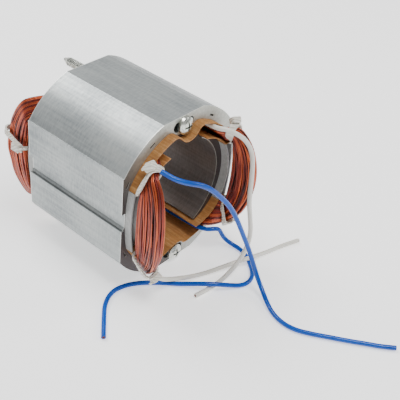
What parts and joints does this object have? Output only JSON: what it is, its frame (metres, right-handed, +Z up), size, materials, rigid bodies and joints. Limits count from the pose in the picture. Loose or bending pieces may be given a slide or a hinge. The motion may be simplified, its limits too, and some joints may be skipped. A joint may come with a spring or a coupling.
{
  "type": "wound field stator",
  "caption": "Two-pole field stator: a pressed stack of steel laminations with a coil of enamelled wire round each pole, slot liners, through screws and insulated leads.",
  "frame": {"origin": "centre of the flat bottom face on which the stator stands, midway along the stack", "axes": "+Z up, +Y along the bore axis towards the rear, where the screw points stand out, +X across the stack through the right pole"},
  "size_m": [0.1317, 0.215, 0.09],
  "materials": {
    "electrical_steel": "punched and pressed sheet",
    "pressboard": "matte insulating board",
    "moulded_insulator": "satin",
    "magnet_wire": "enamelled copper",
    "zinc_plated_steel": "zinc plated",
    "nylon": "natural nylon",
    "blue_insulation": "gloss",
    "white_insulation": "gloss"
  },
  "bodies": {
    "root": {"lamination_stack": "electrical_steel", "slot_liner_top": "pressboard", "slot_liner_bottom": "pressboard", "end_insulator_front_right": "moulded_insulator", "end_insulator_front_left": "moulded_insulator", "end_insulator_rear_left": "moulded_insulator", "end_insulator_rear_right": "moulded_insulator", "fixing_screw_top": "zinc_plated_steel", "fixing_screw_bottom": "zinc_plated_steel", "field_coil_right": "magnet_wire", "field_coil_left": "magnet_wire", "cable_tie_front_right_top": "nylon", "cable_tie_front_right_bottom": "nylon", "cable_tie_front_left_top": "nylon", "cable_tie_front_left_bottom": "nylon", "cable_tie_rear_left": "nylon", "cable_tie_rear_right": "nylon", "lead_blue_left": "blue_insulation", "lead_white_right": "white_insulation", "lead_blue_right": "blue_insulation", "lead_white_left": "white_insulation"}
  },
  "joints": []
}
